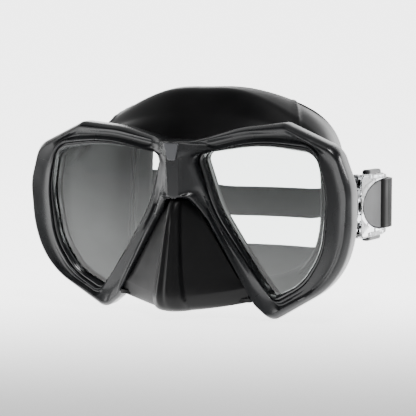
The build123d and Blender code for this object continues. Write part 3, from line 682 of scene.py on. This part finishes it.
def strap_sheet():
    """Sheet along the run; its rows spread between the edges and part at the slot. Fine grip ribs
    cross it near the buckles."""
    line = strap_run()
    along = np.gradient(line, axis=0)
    along /= np.linalg.norm(along, axis=1)[:, None]
    normal = np.stack([along[:, 1], -along[:, 0]], 1)
    length = np.concatenate([[0], np.cumsum(np.linalg.norm(np.diff(line, axis=0), axis=1))])
    from_end = np.minimum(length, length[-1] - length)
    turned = from_end > 22
    y = np.where(turned, line[:, 1], 0.0)
    top, slot_top, slot_low, bottom = strap_heights(y)
    ribbed_part = smoothstep((from_end - 26) / 3) * smoothstep((64 - from_end) / 6)
    ribs = 0.16 * np.cos(2 * math.pi * from_end / RIB_PITCH) * ribbed_part
    line = line + normal * ribs[:, None]
    share = np.linspace(0, 1, 12)[:, None]
    height = np.concatenate([bottom + (slot_low - bottom) * share, slot_top + (top - slot_top) * share])
    points = np.stack(np.broadcast_arrays(line[:, 0], line[:, 1], height), -1)
    faces = grid_faces(24, len(line), False, False)
    row, column = faces[:, 0] // len(line), faces[:, 0] % len(line)
    parted = (row == 11) & turned[column] & (y[column] > SLOT_Y + 0.5)
    return points, faces[~parted]


def make_strap():
    strap = build("strap_band", [strap_sheet()], "strap_silicone", "strap_set", ["strap"], sharp=60)
    solid = strap.modifiers.new("thickness", "SOLIDIFY")
    solid.thickness, solid.offset = STRAP_T * MM, 0
    soft = strap.modifiers.new("soft_edge", "BEVEL")
    soft.width, soft.segments, soft.limit_method = 0.5 * MM, 2, "ANGLE"
    soft.angle_limit = math.radians(60)


make_frame()
make_retainers()
make_skirt()
make_strap()


# ------------------------------------------------------------------ floor, light, camera

GLOW_NEAR, GLOW_FAR = 0.1, 3.8
CAMERA_TURN, CAMERA_RISE, CAMERA_FAR = math.radians(28.0), math.radians(4.5), 0.7
BOWL = 96              # points round the floor


def behind(tree, vector):
    """How far a point or direction lies on the far side of the object from the camera."""
    far = node(tree, "ShaderNodeVectorMath", [(0, vector)], operation="DOT_PRODUCT")
    far.inputs[1].default_value = (-math.sin(CAMERA_TURN), math.cos(CAMERA_TURN), 0)
    return far.outputs["Value"]


def make_floor():
    """A pale floor that turns up into a wide bowl, so that it has no edge from any side."""
    radius = np.concatenate([np.linspace(0, 1.5, 16), np.linspace(1.6, 6, 30)])
    angle = np.arange(BOWL) / BOWL * 2 * np.pi
    low = CAD_BOX[0][2] - 0.001
    height = low + 2.4 * smoothstep((radius - 1.0) / 4.4)
    points = np.stack([radius[:, None] * np.cos(angle), radius[:, None] * np.sin(angle),
                       np.broadcast_to(height[:, None], (len(radius), BOWL))], -1)
    mesh = bpy.data.meshes.new("floor")
    mesh.from_pydata(points.reshape(-1, 3).tolist(), [], grid_faces(len(radius), BOWL, False, True).tolist())
    mesh.shade_smooth()
    # white studio paper: glows softly where it rises behind the object, dimmer on the near side
    paper, tree, shader = new_material("white_paper", Base_Color=linear("#c4c4c4"), Roughness=0.95,
                                       Emission_Color=linear("#ffffff"))
    away = behind(tree, node(tree, "ShaderNodeTexCoord").outputs["Object"])
    glow = node(tree, "ShaderNodeMapRange", [("Value", away)], interpolation_type="SMOOTHSTEP",
                From_Min=-0.3, From_Max=0.05, To_Min=GLOW_NEAR, To_Max=GLOW_FAR)
    tree.links.new(glow.outputs["Result"], shader.inputs["Emission Strength"])
    mesh.materials.append(paper)
    floor = bpy.data.objects.new("floor", mesh)
    bpy.context.scene.collection.objects.link(floor)


def soft_light(name, place, aim, size, power):
    data = bpy.data.lights.new(name, "AREA")
    data.shape, data.size, data.energy = "SQUARE", size, power
    lamp = bpy.data.objects.new(name, data)
    lamp.location = place
    lamp.rotation_euler = (Vector(aim) - Vector(place)).to_track_quat("-Z", "Y").to_euler()
    bpy.context.scene.collection.objects.link(lamp)


def make_lights():
    """A room that is pale behind the object and dim in front of it, with three soft boxes."""
    world = bpy.data.worlds.new("studio")
    world.use_nodes = True
    tree = world.node_tree
    place = node(tree, "ShaderNodeTexCoord")
    away = behind(tree, place.outputs["Generated"])
    fade = node(tree, "ShaderNodeMapRange", [("Value", away)], interpolation_type="SMOOTHSTEP",
                From_Min=-0.3, From_Max=0.9, To_Min=0.06, To_Max=1.2)
    tree.links.new(fade.outputs["Result"], tree.nodes["Background"].inputs["Strength"])
    tree.nodes["Background"].inputs["Color"].default_value = (1, 1, 1, 1)
    bpy.context.scene.world = world
    soft_light("key", (0.45, -0.45, 1.0), (0, -0.03, 0), 0.25, 7)
    soft_light("side", (1.1, 0.25, 0.55), (0, 0, 0), 0.3, 8)
    soft_light("left", (-0.9, -1.1, 0.35), (0, 0, 0), 0.2, 1.5)


def make_camera():
    """A long lens, turned 28 degrees to the wearer's left and raised 4.5 degrees."""
    aim = np.array([0.01446, -0.05024, -0.0009])
    look = np.array([-math.sin(CAMERA_TURN) * math.cos(CAMERA_RISE),
                     math.cos(CAMERA_TURN) * math.cos(CAMERA_RISE), -math.sin(CAMERA_RISE)])
    data = bpy.data.cameras.new("camera")
    data.lens, data.sensor_width = 121.15, 36.0
    camera = bpy.data.objects.new("camera", data)
    camera.location = aim - look * CAMERA_FAR
    camera.rotation_euler = Vector(look).to_track_quat("-Z", "Y").to_euler()
    bpy.context.scene.collection.objects.link(camera)
    bpy.context.scene.camera = camera


make_floor()
make_lights()
make_camera()
